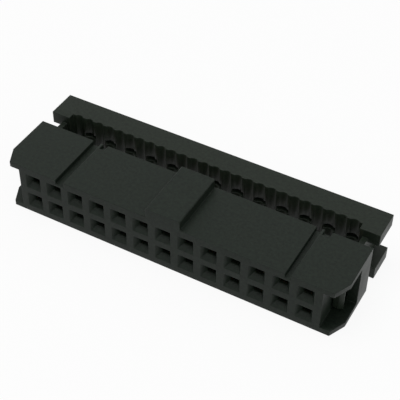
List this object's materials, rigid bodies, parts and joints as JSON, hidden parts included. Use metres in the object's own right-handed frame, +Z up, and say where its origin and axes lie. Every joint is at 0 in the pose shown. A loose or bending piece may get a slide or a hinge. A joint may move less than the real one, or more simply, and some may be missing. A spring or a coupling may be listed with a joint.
{
  "type": "ribbon cable socket connector",
  "caption": "Two-row insulation-displacement socket for flat ribbon cable, with a centre key and a cover bar standing open on its two end legs.",
  "frame": {"origin": "on the resting surface, under the middle of the closed box round housing and open cover", "axes": "+X along the row of contacts towards the end with contact 1, +Y from the mating face towards the cable and the cover, +Z up, towards the key"},
  "size_m": [0.0376, 0.0122, 0.0071],
  "materials": {
    "housing_plastic": "fine satin moulded, black, glass-filled",
    "cover_plastic": "fine satin moulded, black, glass-filled",
    "contact_metal": "stamped phosphor bronze strip with a thin bright plating"
  },
  "bodies": {
    "socket": {"housing": "housing_plastic", "contact_01": "contact_metal", "contact_02": "contact_metal", "contact_03": "contact_metal", "contact_04": "contact_metal", "contact_05": "contact_metal", "contact_06": "contact_metal", "contact_07": "contact_metal", "contact_08": "contact_metal", "contact_09": "contact_metal", "contact_10": "contact_metal", "contact_11": "contact_metal", "contact_12": "contact_metal", "contact_13": "contact_metal", "contact_14": "contact_metal", "contact_15": "contact_metal", "contact_16": "contact_metal", "contact_17": "contact_metal", "contact_18": "contact_metal", "contact_19": "contact_metal", "contact_20": "contact_metal", "contact_21": "contact_metal", "contact_22": "contact_metal", "contact_23": "contact_metal", "contact_24": "contact_metal", "contact_25": "contact_metal", "contact_26": "contact_metal"},
    "cover_bar": {"cover": "cover_plastic"}
  },
  "joints": [
    {"name": "cover_press", "type": "slide", "parent": "socket", "child": "cover_bar", "axis": [0, -1, 0], "range_m": [0, 0.00175]}
  ]
}
